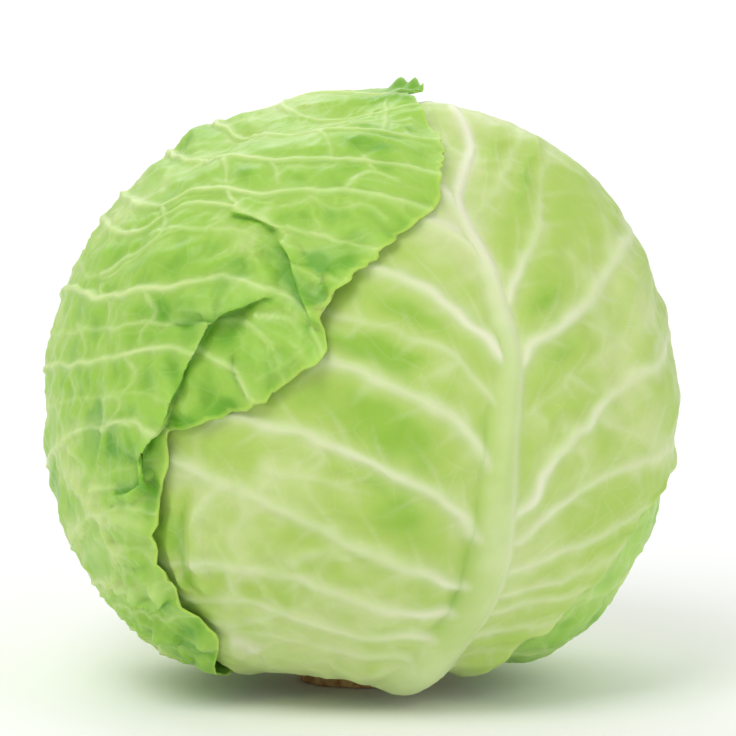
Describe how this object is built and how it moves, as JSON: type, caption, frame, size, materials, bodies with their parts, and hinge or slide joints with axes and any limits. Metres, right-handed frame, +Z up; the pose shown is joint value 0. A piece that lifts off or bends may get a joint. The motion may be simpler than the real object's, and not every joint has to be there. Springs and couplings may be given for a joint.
{
  "type": "cabbage head",
  "caption": "Head of white cabbage with its wrapper leaves, cut at the stump and set down on it.",
  "frame": {"origin": "middle of the flat cut under the stump, which is the face the head rests on", "axes": "+Z up through the head, away from the cut; the front, with the pale midrib, faces -Y"},
  "size_m": [0.1821, 0.18, 0.1757],
  "materials": {
    "cut_stem": "matte",
    "heart_leaf": "satin",
    "rear_leaf": "satin",
    "front_leaf": "satin",
    "left_leaf": "satin"
  },
  "bodies": {
    "root": {"stump": "cut_stem", "heart": "heart_leaf", "leaf_rear": "rear_leaf", "leaf_front": "front_leaf", "leaf_left": "left_leaf"}
  },
  "joints": []
}
